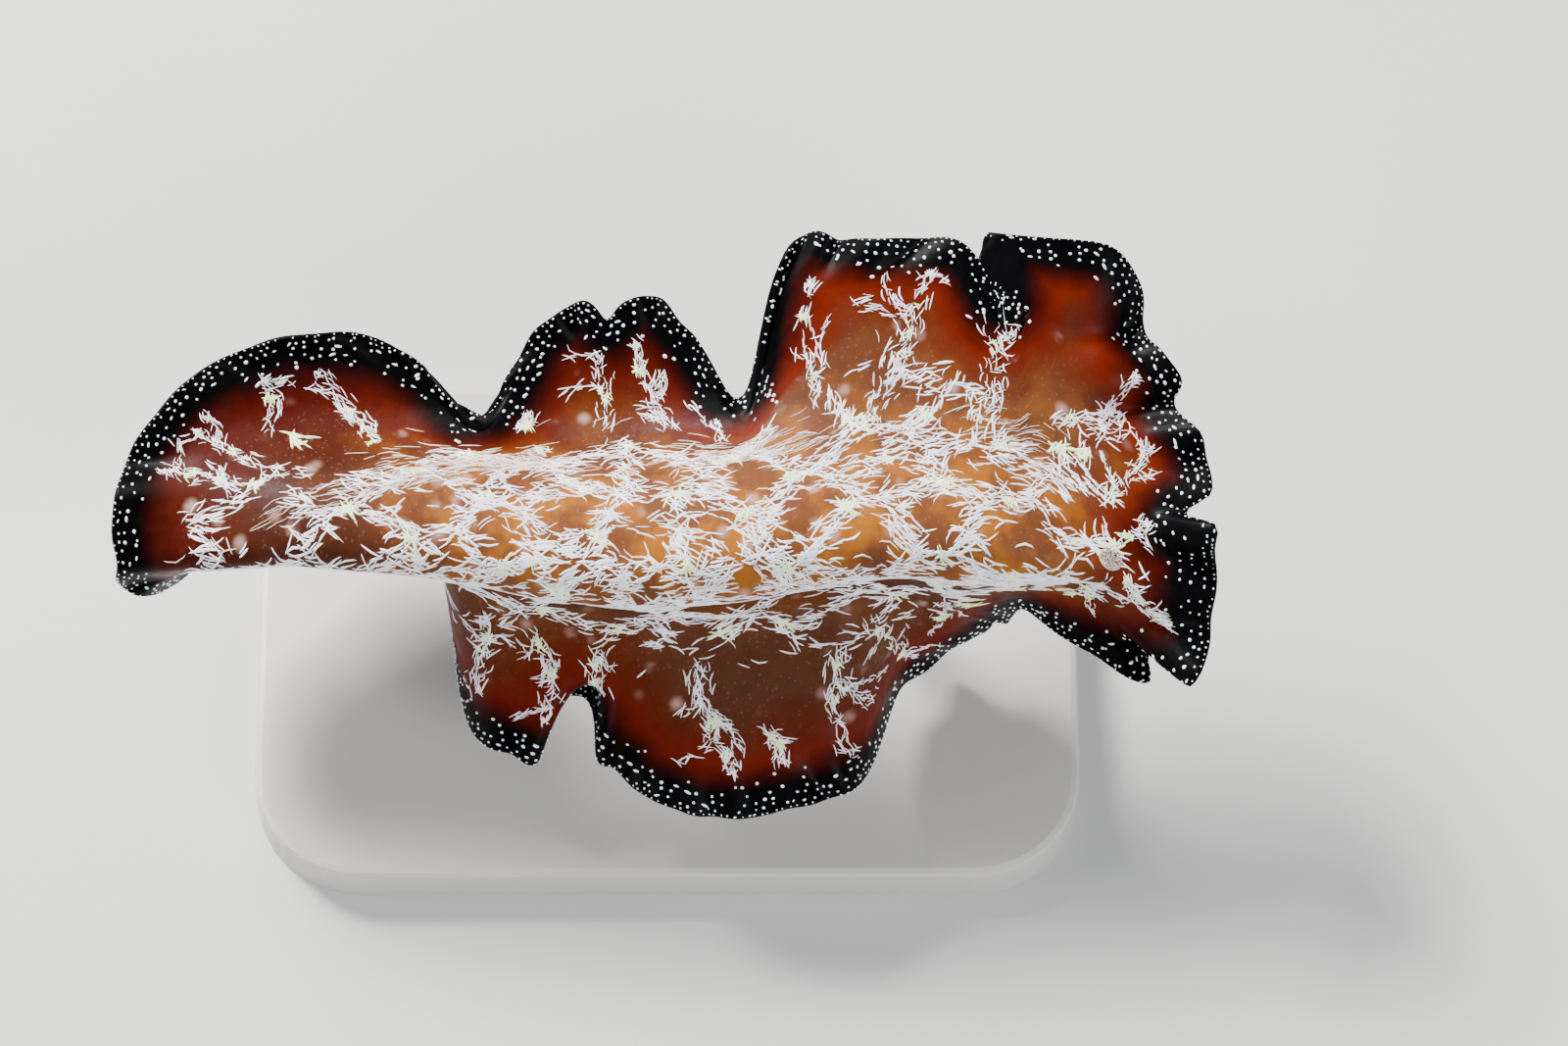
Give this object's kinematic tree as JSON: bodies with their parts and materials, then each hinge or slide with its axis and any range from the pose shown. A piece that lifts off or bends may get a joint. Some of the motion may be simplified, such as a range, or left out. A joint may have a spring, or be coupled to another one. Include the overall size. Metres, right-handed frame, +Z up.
{
  "type": "polyclad flatworm",
  "caption": "Still life-size model of a swimming ruffled flatworm, held over a flat plate by two short rods.",
  "frame": {"origin": "on the underside of the stand's plate, under the middle of the whole model", "axes": "+X towards the worm's head, +Y towards its left side, +Z up"},
  "size_m": [0.06, 0.03, 0.0258],
  "materials": {
    "flesh_back": "moist satin, tan to amber with white streaks",
    "flesh_ruffle": "moist satin, brown to dark orange-red",
    "flesh_margin": "moist satin, black with white dots",
    "eye_spots": "glossy black-brown",
    "stand": "satin pale grey",
    "stand_rod": "brushed"
  },
  "bodies": {
    "root": {"trunk_rear": "flesh_back", "trunk_middle": "flesh_back", "trunk_front": "flesh_back", "head": "flesh_back", "eye_cluster": "eye_spots", "tentacle_left": "flesh_margin", "tentacle_right": "flesh_margin", "head_front_margin": "flesh_margin", "head_left_margin": "flesh_ruffle", "head_right_margin": "flesh_margin", "left_front_ruffle": "flesh_ruffle", "left_middle_ruffle": "flesh_ruffle", "left_rear_ruffle": "flesh_ruffle", "tail": "flesh_ruffle", "right_rear_ruffle": "flesh_ruffle", "right_small_ruffle": "flesh_ruffle", "right_main_ruffle": "flesh_ruffle", "right_front_ruffle": "flesh_ruffle", "stand_base": "stand", "stand_rod_rear": "stand_rod", "stand_rod_front": "stand_rod"}
  },
  "joints": []
}
